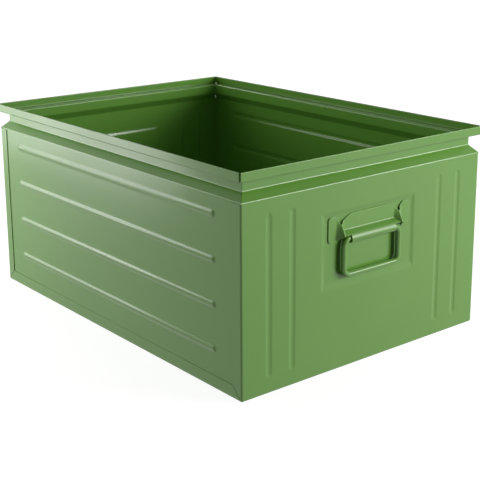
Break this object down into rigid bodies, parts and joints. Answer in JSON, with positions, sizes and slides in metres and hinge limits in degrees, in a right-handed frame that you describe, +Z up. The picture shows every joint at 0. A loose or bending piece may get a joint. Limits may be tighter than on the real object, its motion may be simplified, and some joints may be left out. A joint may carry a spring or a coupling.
{
  "type": "stacking box",
  "caption": "Open-topped stacking and transport box of painted sheet steel, with a stacking rim, beaded walls and a drop bail handle on each end wall.",
  "frame": {"origin": "centre of the underside of the base, on the floor", "axes": "+X along the box's length towards the right-hand handle, +Y across to the rear side wall, +Z up"},
  "size_m": [0.6458, 0.45, 0.3],
  "materials": {
    "sheet_steel": "semi-gloss green powder coat",
    "bracket_steel": "semi-gloss green powder coat",
    "bail_bar": "semi-gloss green powder coat"
  },
  "bodies": {
    "box": {"end_and_base_shell": "sheet_steel", "front_side_wall": "sheet_steel", "rear_side_wall": "sheet_steel", "right_handle_bracket": "bracket_steel", "left_handle_bracket": "bracket_steel"},
    "right_bail": {"right_bail_handle": "bail_bar"},
    "left_bail": {"left_bail_handle": "bail_bar"}
  },
  "joints": [
    {"name": "right_bail_swing", "type": "hinge", "parent": "box", "child": "right_bail", "pos_m": [0.3169, 0, 0.1835], "axis": [0, -1, 0], "range_deg": [0, 90]},
    {"name": "left_bail_swing", "type": "hinge", "parent": "box", "child": "left_bail", "pos_m": [-0.3169, 0, 0.1835], "axis": [0, 1, 0], "range_deg": [0, 90]}
  ]
}
